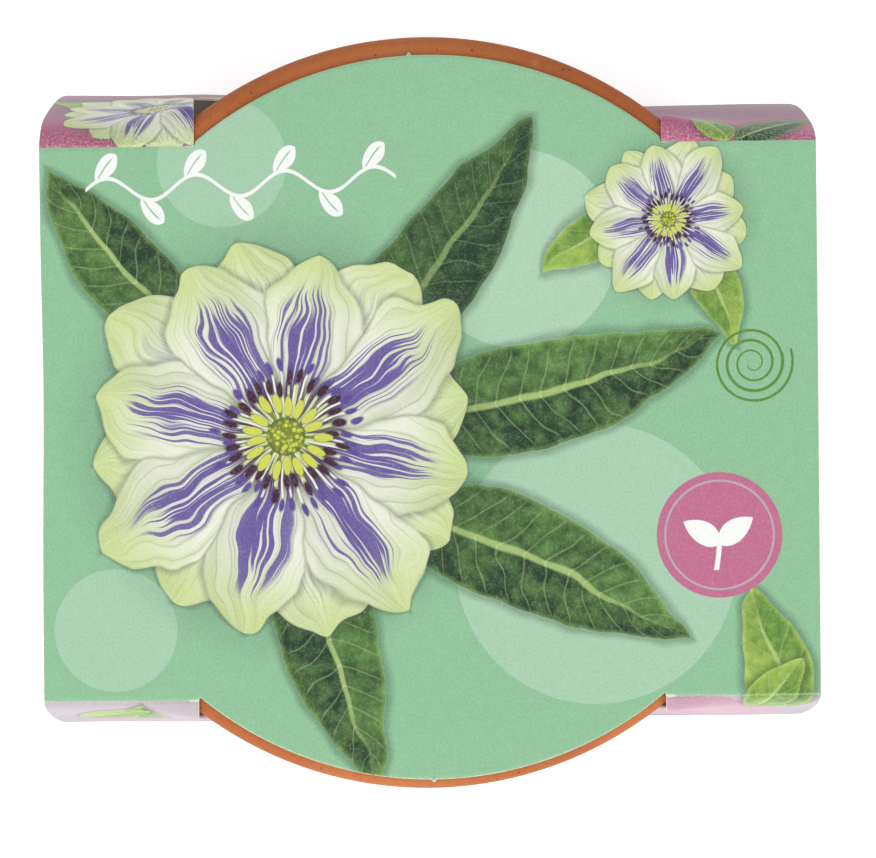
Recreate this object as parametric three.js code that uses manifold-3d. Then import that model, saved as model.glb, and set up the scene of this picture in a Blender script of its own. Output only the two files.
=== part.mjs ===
// A grow kit: a terracotta plant pot held in a folded card sleeve. The pot's rim stands out of a slot in each long
// wall of the sleeve, and the sleeve's top panel lies on the rim like a lid, with a round tab over each slot.
// A pressed disc of coir and a paper sachet of seeds lie in the pot.
//
// Millimetres, +Z up. The origin is on the surface that the kit stands on, under the middle of its outer box.
// +X runs along the sleeve from its left open end to its right one, and +Y points to the back.

import * as THREE from "three";
import { mergeVertices } from "three/addons/utils/BufferGeometryUtils.js";
import Module from "manifold-3d";

const wasm = await Module();
wasm.setup();

// ---------------------------------------------------------------- driving dimensions

const board = 0.5; // thickness of the sleeve's card
const lidGap = 0.25; // the top panel bears on the rim only here and there

const potHeight = 92;
const potAxisX = -0.5; // the pot sits a little left of the sleeve's middle
const rimRadius = 55.2; // outside of the rim, before its top edge is rounded
const rimHeight = 17;
const rimDraft = 0.9; // how much narrower the rim is at its lower edge
const rimUnderside = 0.4; // how much its underside rises outwards
const mouthRadius = 48.4; // inside of the rim at the top
const mouthDraft = 0.9; // how much narrower the mouth is at the ledge
const shoulderRadius = 45.2; // outside of the body, just under the rim
const footRadius = 35;
const ledgeDepth = 15; // from the rim's top to the stacking ledge inside
const ledgeRadius = 41;
const ledgeSlope = 5; // its inner edge lies this far below its outer one
const floorThickness = 6;
const floorRadius = 31; // inside wall, where it meets the floor
const drainRadius = 5.5;
const potRounding = { drain: 0.8, foot: 1.6, underRim: 0.9, rimFoot: 1.2, rimTop: 3, mouth: 1.6, ledge: 2, floor: 3.5 };
const potSides = 72;

const sleeveLength = 113.2; // open end to open end
const sleeveShift = -1.28; // the panels' middle lies this far in front of the pot's axis
const topPanel = 80.8; // fold to fold
const bottomPanel = 78;
const flapHeight = 14; // glue flap, folded up inside the back wall
const foldRound = 0.9; // rounding of the two folds at the bottom

// How a wall stands out between its folds. The shoulder is a quick step out, next to the top fold, and the belly a
// long bow: each is given at the left and at the right end. The rim pushes the card out by rimPush at the slot's
// two upper corners.
const frontWall = { shoulder: [1.1, 1.1], belly: [6, 6], rimPush: 1.5 };
const backWall = { shoulder: [3.7, 1.5], belly: [10.2, 8.9], rimPush: 3.2 };
const shoulderDepth = 0.9;
const pushWidth = 7;
const pushDepth = 25;

const tabRadius = 52.9; // round edge of both tabs
const tabCentreY = -0.75;
const slotHalfTop = 34; // half the slot's width at the fold
const slotHalfBottom = 35.5;
const slotDepth = 20; // from the fold to the slot's foot
const kerf = 0.2; // between a tab's corner and the slot's side
const nickWidth = 1; // stub of card left on each tab's edge by the cutting die
const nickHeight = 0.4;
const nickX = { back: -2.6, front: 0.1 };

const discRadius = 28;
const discHeight = 14;
const discEdge = 1.6; // rounding of the disc's edges
const sachetWidth = 40;
const sachetDepth = 50;
const sachetSeal = 4; // flat sealed border
const sachetEdge = 0.7; // thickness of that border
const sachetBulge = 2.6; // how far the seeds swell the middle
const sachetFlatness = 2.4; // the higher, the flatter its middle
const sachetTurn = 0.35; // radians

const potTop = board + potHeight;
const sleeveTop = potTop + lidGap + board;
const sleeveHalf = sleeveLength / 2;

// ---------------------------------------------------------------- helpers

/** Points of a closed outline. Each corner is [x, y, rounding], and the rounding may be left out. */
function roundedOutline(corners, steps = 3) {
  const path = new THREE.Path();
  const at = (i) => new THREE.Vector2(...corners[(i + corners.length) % corners.length].slice(0, 2));
  corners.forEach(([, , rounding = 0], i) => {
    const corner = at(i);
    const towards = (other) => other.clone().sub(corner).setLength(rounding).add(corner);
    const start = towards(at(i - 1));
    const end = towards(at(i + 1));
    if (i === 0) path.moveTo(start.x, start.y);
    else path.lineTo(start.x, start.y);
    if (rounding > 0) path.quadraticCurveTo(corner.x, corner.y, end.x, end.y);
  });
  path.closePath();
  return path.getPoints(steps);
}

/** A solid of revolution about Z from [radius, height] points. */
function turned(points, sides) {
  return new THREE.LatheGeometry(points, sides).rotateX(Math.PI / 2);
}

/** A manifold-3d solid from a closed three.js geometry. */
function toSolid(geometry) {
  const bare = geometry.index ? geometry.toNonIndexed() : geometry.clone();
  bare.deleteAttribute("normal");
  bare.deleteAttribute("uv");
  const merged = mergeVertices(bare, 1e-4);
  return new wasm.Manifold(
    new wasm.Mesh({
      numProp: 3,
      vertProperties: new Float32Array(merged.attributes.position.array),
      triVerts: new Uint32Array(merged.index.array),
    }),
  );
}

/** A three.js geometry from a manifold-3d solid. */
function toGeometry(solid) {
  const { vertProperties, triVerts } = solid.getMesh();
  return new THREE.BufferGeometry()
    .setAttribute("position", new THREE.BufferAttribute(vertProperties, 3))
    .setIndex(new THREE.BufferAttribute(triVerts, 1));
}

// ---------------------------------------------------------------- pot

function potGeometry() {
  const rimFoot = potHeight - rimHeight;
  const ledge = potHeight - ledgeDepth;
  const outline = roundedOutline([
    [drainRadius, 0, potRounding.drain],
    [footRadius, 0, potRounding.foot],
    [shoulderRadius, rimFoot, potRounding.underRim],
    [rimRadius - rimDraft, rimFoot + rimUnderside, potRounding.rimFoot],
    [rimRadius, potHeight, potRounding.rimTop],
    [mouthRadius, potHeight, potRounding.mouth],
    [mouthRadius - mouthDraft, ledge, potRounding.ledge],
    [ledgeRadius, ledge - ledgeSlope, potRounding.ledge],
    [floorRadius, floorThickness, potRounding.floor],
    [drainRadius, floorThickness, potRounding.drain],
  ]);
  return turned(outline, potSides);
}

// ---------------------------------------------------------------- sleeve

/** Outside line of a wall at one place along the sleeve, from the top fold down: [distance out, height]. */
function wallLine(wall, x, steps = 20) {
  const along = (x + sleeveHalf) / sleeveLength;
  const shoulder = THREE.MathUtils.lerp(...wall.shoulder, along);
  const belly = THREE.MathUtils.lerp(...wall.belly, along);
  const push = wall.rimPush * Math.exp(-(((Math.abs(x) - slotHalfTop) / pushWidth) ** 2));
  const point = (share) => {
    const depth = share * sleeveTop;
    const step = shoulder * (1 - share) + push * Math.exp(-depth / pushDepth);
    const out =
      THREE.MathUtils.lerp(topPanel / 2, bottomPanel / 2, share) +
      belly * Math.sin(Math.PI * share) +
      step * (1 - Math.exp(-depth / shoulderDepth));
    return new THREE.Vector2(out, sleeveTop - depth);
  };
  const lastShare = 1 - foldRound / sleeveTop;
  const line = [];
  for (let i = 0; i <= steps; i++) line.push(point(lastShare * (i / steps) ** 1.8));
  const fold = new THREE.QuadraticBezierCurve(
    line.at(-1),
    new THREE.Vector2(bottomPanel / 2, 0),
    new THREE.Vector2(bottomPanel / 2 - foldRound, 0),
  );
  return line.concat(fold.getPoints(3).slice(1));
}

/** The sleeve's outside and inside loops at one place along it, as matching lists of [x, y, z]. */
function sleeveLoops(x) {
  const front = wallLine(frontWall, x).map((p) => new THREE.Vector2(-p.x, p.y));
  const back = wallLine(backWall, x);
  const outside = [...front, ...back.reverse()]; // down the front, and up the back
  const inside = outside.map((p, i) => {
    const inward = (from, to) => {
      const step = to.clone().sub(from).normalize();
      return new THREE.Vector2(-step.y, step.x);
    };
    const before = inward(outside.at(i - 1), p);
    const after = inward(p, outside[(i + 1) % outside.length]);
    const mitre = before.clone().add(after).normalize();
    const isFlap = p.x > 0 && p.y > foldRound / 2 && p.y < flapHeight;
    const thickness = isFlap ? 2 * board : board;
    return mitre.multiplyScalar(thickness / mitre.dot(before)).add(p);
  });
  const place = (p) => [x, p.x + sleeveShift, p.y];
  return { outside: outside.map(place), inside: inside.map(place) };
}

/** The folded strip of card before its slots are cut: straight faces join the loops at places along it. */
function sleeveStrip(places = 20) {
  const corners = [];
  const faces = [];
  const quad = (a, b, c, d) => faces.push(a, b, c, a, c, d);
  for (let place = 0; place <= places; place++) {
    const { outside, inside } = sleeveLoops(THREE.MathUtils.lerp(-sleeveHalf, sleeveHalf, place / places));
    corners.push(...outside, ...inside);
  }
  const loop = corners.length / (places + 1) / 2;
  const outer = (place, i) => 2 * loop * place + (i % loop);
  const inner = (place, i) => outer(place, i) + loop;
  for (let i = 0; i < loop; i++) {
    for (let place = 0; place < places; place++) {
      quad(outer(place, i), outer(place, i + 1), outer(place + 1, i + 1), outer(place + 1, i));
      quad(inner(place, i), inner(place + 1, i), inner(place + 1, i + 1), inner(place, i + 1));
    }
    quad(outer(0, i), inner(0, i), inner(0, i + 1), outer(0, i + 1));
    quad(outer(places, i), outer(places, i + 1), inner(places, i + 1), inner(places, i));
  }
  return toSolid(
    new THREE.BufferGeometry()
      .setAttribute("position", new THREE.Float32BufferAttribute(corners.flat(), 3))
      .setIndex(faces),
  );
}

/** What is cut from one long wall: the slot that the rim stands in, open to the top. side is 1 at the back. */
function slotCutter(side) {
  const outline = new THREE.Shape([
    new THREE.Vector2(-slotHalfBottom, sleeveTop - slotDepth),
    new THREE.Vector2(slotHalfBottom, sleeveTop - slotDepth),
    new THREE.Vector2(slotHalfTop, sleeveTop),
    new THREE.Vector2(slotHalfTop, sleeveTop + 1),
    new THREE.Vector2(-slotHalfTop, sleeveTop + 1),
    new THREE.Vector2(-slotHalfTop, sleeveTop),
  ]);
  const reach = rimRadius / 2;
  const fold = sleeveShift + (side * topPanel) / 2;
  const back = side > 0 ? fold + reach : fold;
  const prism = new THREE.ExtrudeGeometry(outline, { depth: reach, bevelEnabled: false });
  return toSolid(prism.rotateX(Math.PI / 2).translate(0, back, 0));
}

/** The middle of the top panel, from the round edge of one tab to that of the other. */
function tabPlate() {
  const reach = Math.asin((slotHalfTop - kerf) / tabRadius);
  const stub = nickWidth / 2 / tabRadius;
  const arc = (radius, from, to, steps) =>
    new THREE.Path().absarc(0, tabCentreY, radius, from, to, false).getPoints(steps);
  const outline = [];
  for (const [middle, nick] of [
    [Math.PI / 2, -nickX.back],
    [-Math.PI / 2, nickX.front],
  ]) {
    const nickAt = middle + nick / tabRadius;
    outline.push(...arc(tabRadius, middle - reach, nickAt - stub, 8));
    outline.push(...arc(tabRadius + nickHeight, nickAt - stub / 2, nickAt + stub / 2, 1));
    outline.push(...arc(tabRadius, nickAt + stub, middle + reach, 8));
  }
  const plate = new THREE.ExtrudeGeometry(new THREE.Shape(outline), { depth: board, bevelEnabled: false });
  return toSolid(plate.translate(0, 0, sleeveTop - board));
}

function sleeveGeometry() {
  const slotted = sleeveStrip().subtract(slotCutter(1)).subtract(slotCutter(-1));
  return toGeometry(slotted.add(tabPlate()));
}

// ---------------------------------------------------------------- coir disc and seed sachet

function discGeometry() {
  const outline = roundedOutline([
    [0, 0],
    [discRadius, 0, discEdge],
    [discRadius, discHeight, discEdge],
    [0, discHeight],
  ]);
  return turned(outline.slice(0, -1), 48);
}

/** A flat-bottomed pillow: a sealed border all round, and a swollen middle. */
function sachetGeometry() {
  const geometry = new THREE.BoxGeometry(sachetWidth, sachetDepth, sachetEdge, 14, 16, 1);
  geometry.translate(0, 0, sachetEdge / 2);
  const position = geometry.attributes.position;
  const swell = (across, size) => {
    const share = Math.min(1, Math.abs(across) / (size / 2 - sachetSeal));
    return 1 - share ** sachetFlatness;
  };
  for (let i = 0; i < position.count; i++) {
    if (position.getZ(i) < sachetEdge / 2) continue;
    const rise = swell(position.getX(i), sachetWidth) * swell(position.getY(i), sachetDepth);
    position.setZ(i, sachetEdge + sachetBulge * rise);
  }
  return geometry;
}

// ---------------------------------------------------------------- the kit

const terracotta = new THREE.MeshStandardMaterial({ color: 0xb4683f, roughness: 0.8, metalness: 0 });
const printedCard = new THREE.MeshStandardMaterial({ color: 0x97c6a1, roughness: 0.5, metalness: 0 });
const coir = new THREE.MeshStandardMaterial({ color: 0x6b4a2f, roughness: 1, metalness: 0 });
const paper = new THREE.MeshStandardMaterial({ color: 0xefe9dc, roughness: 0.7, metalness: 0 });

const kit = new THREE.Group();

function addPiece(name, geometry, material, x, y, z, turn = 0) {
  const mesh = new THREE.Mesh(geometry, material);
  mesh.name = name;
  mesh.position.set(x, y, z);
  mesh.rotation.z = turn;
  kit.add(mesh);
}

const discFoot = board + floorThickness;
addPiece("pot", potGeometry(), terracotta, potAxisX, 0, board);
addPiece("sleeve", sleeveGeometry(), printedCard, 0, 0, 0);
addPiece("coir_disc", discGeometry(), coir, potAxisX, 0, discFoot);
addPiece("seed_sachet", sachetGeometry(), paper, potAxisX, 0, discFoot + discHeight, sachetTurn);

export default kit;
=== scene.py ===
"""Growing kit: a terracotta pot in a printed card sleeve, with a coir disc and a seed sachet inside the pot.

Lengths are in millimetres in this script, and become metres where a mesh is made.
"""

import inspect
import math

import bpy
import numpy as np
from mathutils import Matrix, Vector, noise


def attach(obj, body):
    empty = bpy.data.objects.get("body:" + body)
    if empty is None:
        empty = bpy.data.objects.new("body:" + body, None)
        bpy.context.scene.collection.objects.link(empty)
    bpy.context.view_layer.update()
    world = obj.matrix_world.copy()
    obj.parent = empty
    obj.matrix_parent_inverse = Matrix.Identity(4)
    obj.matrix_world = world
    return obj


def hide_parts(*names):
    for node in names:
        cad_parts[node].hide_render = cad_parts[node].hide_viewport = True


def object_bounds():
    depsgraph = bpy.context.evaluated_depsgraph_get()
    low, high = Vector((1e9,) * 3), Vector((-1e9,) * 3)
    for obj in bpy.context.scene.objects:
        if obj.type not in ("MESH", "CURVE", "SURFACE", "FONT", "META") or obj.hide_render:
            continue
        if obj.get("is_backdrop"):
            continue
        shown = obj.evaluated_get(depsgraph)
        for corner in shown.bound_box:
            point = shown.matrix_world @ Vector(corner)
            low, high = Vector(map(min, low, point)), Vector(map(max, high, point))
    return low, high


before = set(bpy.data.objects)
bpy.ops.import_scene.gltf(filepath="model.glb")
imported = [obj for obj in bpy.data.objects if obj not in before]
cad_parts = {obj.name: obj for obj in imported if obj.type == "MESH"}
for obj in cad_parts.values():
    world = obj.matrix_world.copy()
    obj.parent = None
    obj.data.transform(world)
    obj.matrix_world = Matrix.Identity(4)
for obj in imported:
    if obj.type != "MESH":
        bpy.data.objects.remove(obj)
cad_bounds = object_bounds()

MM = 0.001
TAU = 2 * math.pi

# ---------- sizes, as in the CAD model

BOARD = 0.5  # thickness of the card
LID_GAP = 0.25
POT_HEIGHT = 92.0
POT_FLOOR = 6.0
POT_AXIS_X = -0.5
POT_TOP = BOARD + POT_HEIGHT
SLEEVE_TOP = POT_TOP + LID_GAP + BOARD

SLEEVE_HALF = 56.6
SLEEVE_SHIFT = -1.28
TOP_FOLD = 40.4
BOTTOM_FOLD = 39.0
FLAP_HEIGHT = 14.0
SLOT_HALF_TOP = 34.0
SLOT_HALF_BOTTOM = 35.5
SLOT_DEPTH = 20.0
KERF = 0.2
TAB_RADIUS = 52.77
TAB_CENTRE_Y = -0.685

DISC_RADIUS = 28.0
DISC_HEIGHT = 14.0
DISC_FOOT = BOARD + POT_FLOOR
SACHET_WIDTH = 40.0
SACHET_DEPTH = 50.0
SACHET_SEAL = 4.0
SACHET_TURN = 0.35

# ---------- meshes


def add_mesh(name, points_mm, faces, materials, face_slots=None, loop_normals=None, print_mm=None):
    """A mesh object at the origin. print_mm holds each point's place on the print, and an edge mark."""
    mesh = bpy.data.meshes.new(name)
    mesh.from_pydata([tuple(p) for p in np.asarray(points_mm) * MM], [], [tuple(f) for f in faces])
    for material in materials:
        mesh.materials.append(material)
    if face_slots is not None:
        mesh.polygons.foreach_set("material_index", face_slots)
    mesh.polygons.foreach_set("use_smooth", [True] * len(mesh.polygons))
    if print_mm is not None:
        attribute = mesh.attributes.new("print_mm", "FLOAT_VECTOR", "POINT")
        attribute.data.foreach_set("vector", np.asarray(print_mm, np.float32).ravel())
    mesh.update()
    if loop_normals is not None:
        mesh.normals_split_custom_set(loop_normals)
    return add_object(name, mesh)


def add_object(name, data):
    made = bpy.data.objects.new(name, data)
    bpy.context.scene.collection.objects.link(made)
    return made


def place(made, slot, *nodes):
    """The piece rides on the only body and stands for CAD nodes, which it hides. The slot is not used."""
    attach(made, "root")
    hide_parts(*nodes)


# ---------- shader graphs


INK_EDGE = 0.12  # mm over which the edge of a printed shape fades


def operator(operation, swapped=False):
    """A method that makes a Math node of a value and what it is combined with."""

    def method(self, *others):
        sources = (self, *others)
        return self.graph.math(operation, *(sources[::-1] if swapped else sources))

    return method


class Value:
    """One number in a shader. Sums and products of values become Math nodes."""

    def __init__(self, graph, socket):
        self.graph = graph
        self.socket = socket

    __add__ = operator("ADD")
    __radd__ = operator("ADD", swapped=True)
    __sub__ = operator("SUBTRACT")
    __rsub__ = operator("SUBTRACT", swapped=True)
    __mul__ = operator("MULTIPLY")
    __rmul__ = operator("MULTIPLY", swapped=True)
    __truediv__ = operator("DIVIDE")
    __pow__ = operator("POWER")
    __abs__ = operator("ABSOLUTE")
    smaller = operator("MINIMUM")
    larger = operator("MAXIMUM")
    fraction = operator("FRACT")
    sine = operator("SINE")
    cosine = operator("COSINE")

    def clamp(self):
        return self.graph.math("ADD", self, 0.0, clamp=True)

    def step(self, low, high):
        """0 where the value is at low, 1 where it is at high, and smooth between."""
        inputs = {"Value": self, "From Min": low, "From Max": high}
        made = self.graph.node("ShaderNodeMapRange", inputs, interpolation_type="SMOOTHSTEP")
        return Value(self.graph, made.outputs["Result"])

    def inside(self):
        """1 where the value, a distance in from a printed shape's edge, is above 0. The edge is soft."""
        return self.step(0.0, INK_EDGE)


class Graph:
    """Adds nodes to a material's tree or to a node group's tree."""

    def __init__(self, tree):
        self.tree = tree

    def feed(self, socket, source):
        if isinstance(source, Value):
            source = source.socket
        if isinstance(source, bpy.types.NodeSocket):
            self.tree.links.new(source, socket)
        else:
            socket.default_value = source

    def wrap(self, socket):
        """A number's socket as a Value. Colours and vectors stay sockets."""
        return Value(self, socket) if socket.type == "VALUE" else socket

    def node(self, kind, inputs=None, **settings):
        made = self.tree.nodes.new(kind)
        for key, setting in settings.items():
            setattr(made, key, setting)
        for key, source in (inputs or {}).items():
            self.feed(made.inputs[key], source)
        return made

    def math(self, operation, *sources, clamp=False):
        made = self.node("ShaderNodeMath", dict(enumerate(sources)), operation=operation, use_clamp=clamp)
        return Value(self, made.outputs[0])

    def angle(self, x, y):
        return self.math("ARCTAN2", y, x)

    def blend(self, a, b, share):
        """A number between a, where share is 0, and b, where it is 1."""
        made = self.node("ShaderNodeMix", {0: share, 2: a, 3: b}, data_type="FLOAT")
        return Value(self, made.outputs[0])

    def switch(self, a, b, share):
        """A vector between a, where share is 0, and b, where it is 1."""
        return self.node("ShaderNodeMix", {0: share, 4: a, 5: b}, data_type="VECTOR").outputs[1]

    def paint(self, under, over, share):
        """A colour: under, with over laid on it by share."""
        return self.node("ShaderNodeMix", {0: share, 6: under, 7: over}, data_type="RGBA").outputs[2]

    def vector(self, x=0.0, y=0.0, z=0.0):
        return self.node("ShaderNodeCombineXYZ", {"X": x, "Y": y, "Z": z}).outputs[0]

    def split(self, vector):
        parts = self.node("ShaderNodeSeparateXYZ", {0: vector}).outputs
        return [Value(self, part) for part in parts]

    def distance(self, vector):
        made = self.node("ShaderNodeVectorMath", {0: vector}, operation="LENGTH")
        return Value(self, made.outputs["Value"])

    def local(self, vector, at, degrees=0.0, size=1.0):
        """The vector as seen from a place on the print, turned by an angle and scaled by a size."""
        moved = {"Location": (*at, 0), "Rotation": (0, 0, math.radians(degrees)), "Scale": (size, size, size)}
        return self.node("ShaderNodeMapping", {"Vector": vector, **moved}, vector_type="TEXTURE").outputs[0]

    def noise(self, vector, scale, detail=2.0, roughness=0.5, dimensions="3D"):
        inputs = {"Vector": vector, "Scale": scale, "Detail": detail, "Roughness": roughness}
        made = self.node("ShaderNodeTexNoise", inputs, noise_dimensions=dimensions)
        return Value(self, made.outputs[0])

    def random(self, number):
        """A number from 0 to 1 for each whole number."""
        made = self.node("ShaderNodeTexWhiteNoise", {"W": number}, noise_dimensions="1D")
        return Value(self, made.outputs[0])

    def cells(self, vector, scale):
        """Distance to the nearest of many scattered points."""
        made = self.node("ShaderNodeTexVoronoi", {"Vector": vector, "Scale": scale})
        return Value(self, made.outputs["Distance"])

    def place(self):
        """The point on the piece, in millimetres."""
        where = self.node("ShaderNodeTexCoord").outputs["Object"]
        return self.local(where, (0, 0), 0.0, MM)

    def on_print(self):
        """The point's place on the print, in millimetres, and its edge mark."""
        return self.node("ShaderNodeAttribute", attribute_name="print_mm").outputs["Vector"]

    def bump(self, height, distance_mm):
        return self.node("ShaderNodeBump", {"Height": height, "Distance": distance_mm * MM}).outputs[0]


def finish(name, draw):
    """A material. draw adds nodes and returns the colour, roughness, surface normal and specular level."""
    material = bpy.data.materials.new(name)
    material.use_nodes = True
    graph = Graph(material.node_tree)
    shader = material.node_tree.nodes["Principled BSDF"]
    for key, source in zip(("Base Color", "Roughness", "Normal", "Specular IOR Level"), draw(graph)):
        graph.feed(shader.inputs[key], source)
    return material


# the kinds of a motif's inputs and results, by their names. All others are numbers
SOCKETS = dict.fromkeys(("colour", "under", "tint", "stalk", "head"), "NodeSocketColor")
SOCKETS |= dict.fromkeys(("local", "leaf"), "NodeSocketVector")


class Motif:
    """A drawing that is made once, as a node group, and used many times with other numbers.

    What the drawing takes, apart from the graph, becomes the group's inputs. It returns a dict of results.
    """

    def __init__(self, draw):
        self.tree = bpy.data.node_groups.new(draw.__name__, "ShaderNodeTree")
        self.names = list(inspect.signature(draw).parameters)[1:]
        self.declare(self.names, "INPUT")
        entry = self.tree.nodes.new("NodeGroupInput")
        graph = Graph(self.tree)
        results = draw(graph, *[graph.wrap(entry.outputs[name]) for name in self.names])
        self.declare(results, "OUTPUT")
        leave = self.tree.nodes.new("NodeGroupOutput")
        for name, result in results.items():
            graph.feed(leave.inputs[name], result)

    def declare(self, names, in_out):
        for name in names:
            kind = SOCKETS.get(name, "NodeSocketFloat")
            self.tree.interface.new_socket(name, in_out=in_out, socket_type=kind)

    def __call__(self, graph, *given, **named):
        made = graph.node("ShaderNodeGroup", dict(zip(self.names, given)) | named, node_tree=self.tree)
        results = [graph.wrap(socket) for socket in made.outputs]
        return results if len(results) > 1 else results[0]


# ---------- inks

STUDIO_LIGHT = 1.46  # how much brighter than white a level white surface is lit


def rgb(red, green, blue):
    """A screen colour, 0 to 255 a channel, as the linear colour that the shader wants."""
    shares = [channel / 255 for channel in (red, green, blue)]
    return (*[c / 12.92 if c <= 0.04 else ((c + 0.055) / 1.055) ** 2.4 for c in shares], 1.0)


def ink(red, green, blue):
    """A colour as the photo shows it. The studio is brighter than white, so the surface is a bit darker."""
    return (*[c / STUDIO_LIGHT for c in rgb(red, green, blue)[:3]], 1.0)


MINT = ink(142, 192, 151)
DUSTY_PINK = ink(193, 108, 142)
PALE_PINK = ink(180, 170, 176)
# LILAC and MAUVE are painted shade, laid on the front and back walls' ground below the fold
LILAC = ink(150, 143, 152)
MAUVE = ink(112, 70, 99)
ROSE = ink(188, 138, 160)
DEEP_GREEN = ink(26, 58, 34)
MID_GREEN = ink(110, 156, 74)
FRESH_DARK = ink(92, 138, 52)
FRESH_LIGHT = ink(176, 202, 88)
VEIN = ink(180, 206, 128)
VEIL = ink(208, 230, 212)
WHITE_INK = ink(246, 248, 244)
GREY_INK = ink(66, 76, 72)
PETAL = ink(236, 238, 222)
PETAL_TIP = ink(204, 220, 150)
PETAL_VEIN = ink(158, 172, 130)
VIOLET = ink(92, 70, 152)
MAROON = ink(64, 26, 50)
POLLEN = ink(208, 214, 80)
OLIVE = ink(120, 134, 42)
BARE_CARD = ink(230, 226, 207)

# ---------- print motifs


@Motif
def patch(graph, under, local, radius, tint, share):
    """A flat round patch of ink."""
    inside = (radius - graph.distance(local)).inside()
    return {"colour": graph.paint(under, tint, inside * share)}


@Motif
def round_line(graph, under, local, radius, thick, tint):
    """A thin round line of ink."""
    off = abs(graph.distance(local) - radius)
    line = off.step(thick * 0.5 + INK_EDGE / 2, thick * 0.5 - INK_EDGE / 2)
    return {"colour": graph.paint(under, tint, line)}


@Motif
def leaf_outline(graph, local, length, width, bend, fresh, wander):
    """A pointed leaf from its stalk end: how far inside its edge a point is, and where it is on the leaf.

    The place is the length along the leaf, the share of its half width, and a code for t, the share of its
    length, with 0.5 added to it on a fresh leaf.
    """
    x, y, _ = graph.split(local)
    t = (x / length).clamp()
    bow = (t - t * t) * bend * length
    y = y + bow + (wander - 0.5) * 3.0 * t
    half = (t**0.62) * ((1.0 - t) ** 0.86) * (width * 2.735)
    gap = half - abs(y) - abs(x - t * length)
    across = y / half.larger(0.05)
    return {"gap": gap, "leaf": graph.vector(x, across, t * 0.5 + fresh)}


VEIN_SPACING = 3.4
VEIN_SLANT = 4.6


@Motif
def leaf_ink(graph, under, leaf, gap, mottle, wander):
    """A leaf's colours: a pale midrib, curved side veins with lifted flesh between, and light on its edge."""
    x, across, code = graph.split(leaf)
    fresh = code.step(0.7, 0.8)
    t = code.fraction() * 2.0
    out = abs(across)
    dark = graph.paint(DEEP_GREEN, FRESH_DARK, fresh)
    light = graph.paint(MID_GREEN, FRESH_LIGHT, fresh)
    course = ((x - out * VEIN_SLANT + wander * 3.0) / VEIN_SPACING).fraction()
    from_vein = abs(course - 0.5)
    vein = from_vein.step(0.43, 0.5) * out.step(1.0, 0.75)
    lift = from_vein.step(0.5, 0.05) * (1.0 - out * 0.6)
    half_light = across.step(-0.08, 0.08)
    edge = gap.step(0.9, 0.1)
    sheen = wander.step(0.42, 0.62)
    tone = (mottle - 0.5) * 0.9 + half_light * 0.26 + edge * 0.3 + lift * 0.16 + sheen * 0.22
    colour = graph.paint(dark, light, tone.clamp())
    rib = out.step(0.09, 0.03) * t.step(1.0, 0.6)
    colour = graph.paint(colour, VEIN, (vein * 0.3 + rib * 0.75 + edge * 0.12).clamp())
    return {"colour": graph.paint(under, colour, gap.inside())}


def ring_place(graph, angle, count, turn):
    """Where a point is on a ring of equal parts: the part's number, and from 0 to 1 across the part.

    The numbers wrap round, so that a part has one number on both sides of the line where the angle jumps.
    """
    number = angle * count / TAU + turn
    place = number.fraction()
    return graph.math("WRAP", number - place, turn + count * 0.5, turn - count * 0.5), place


@Motif
def petals(graph, under, radius, angle, count, turn, reach, width, seed, bars):
    """One ring of pointed petals with a feathered violet bar down the middle of each."""
    index, place = ring_place(graph, angle, count, turn)
    swing = (graph.random(index + seed + 31.7) - 0.5) * 0.13
    offset = (place - 0.5) * TAU / count + swing
    along = radius * offset.cosine()
    across = radius * offset.sine()
    reach = reach * (graph.random(index + seed) * 0.16 + 0.84)
    t = (along / reach).clamp()
    wave = (t * 17.0 + index * 2.3).sine() * 0.04 + 1.0
    half = (t**0.7) * ((1.0 - t) ** 0.62) * (width * 2.5) * wave
    to_next = radius * (0.5 - abs(place - 0.5)) * TAU / count
    past_tip = (along - reach).larger(0.0)
    gap = (half - abs(across) - past_tip).smaller(to_next + t.step(0.1, 0.0) * 9.0)
    side = across / half.larger(0.05)
    out = abs(side)
    grain = graph.noise(graph.vector(t * 2.6, side * 6.0, index * 7.7 + seed), 1.0, 1.0)
    shade = graph.paint(PETAL, PETAL_TIP, (t.step(0.5, 1.0) + (grain - 0.5) * 0.5).clamp())
    line = abs((side * 4.0 + 0.5).fraction() - 0.5).step(0.1, 0.0) * 0.4
    hollow = side.step(0.1, -0.5) * 0.2 + t.step(0.5, 0.0) * 0.35
    shade = graph.paint(shade, PETAL_VEIN, (line + hollow + (grain - 0.5) * 0.6).clamp())
    shade = graph.paint(shade, PETAL_VEIN, gap.step(0.6, 0.0) * 0.55)
    hair = graph.noise(graph.vector(t * 1.6, side * 17.0, index * 3.1 + seed), 1.0, 1.0)
    bar = out.step(0.62, 0.08) * t.step(0.1, 0.24) * t.step(0.92, 0.55)
    stroke = (hair + bar * 0.2).step(0.57, 0.64) * bar.step(0.02, 0.3)
    shade = graph.paint(shade, VIOLET, (stroke * 0.85 + bar * 0.1).clamp() * bars)
    under = graph.paint(under, GREY_INK, gap.step(-1.3, 0.0) * 0.4)
    return {"colour": graph.paint(under, shade, gap.inside())}


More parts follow.
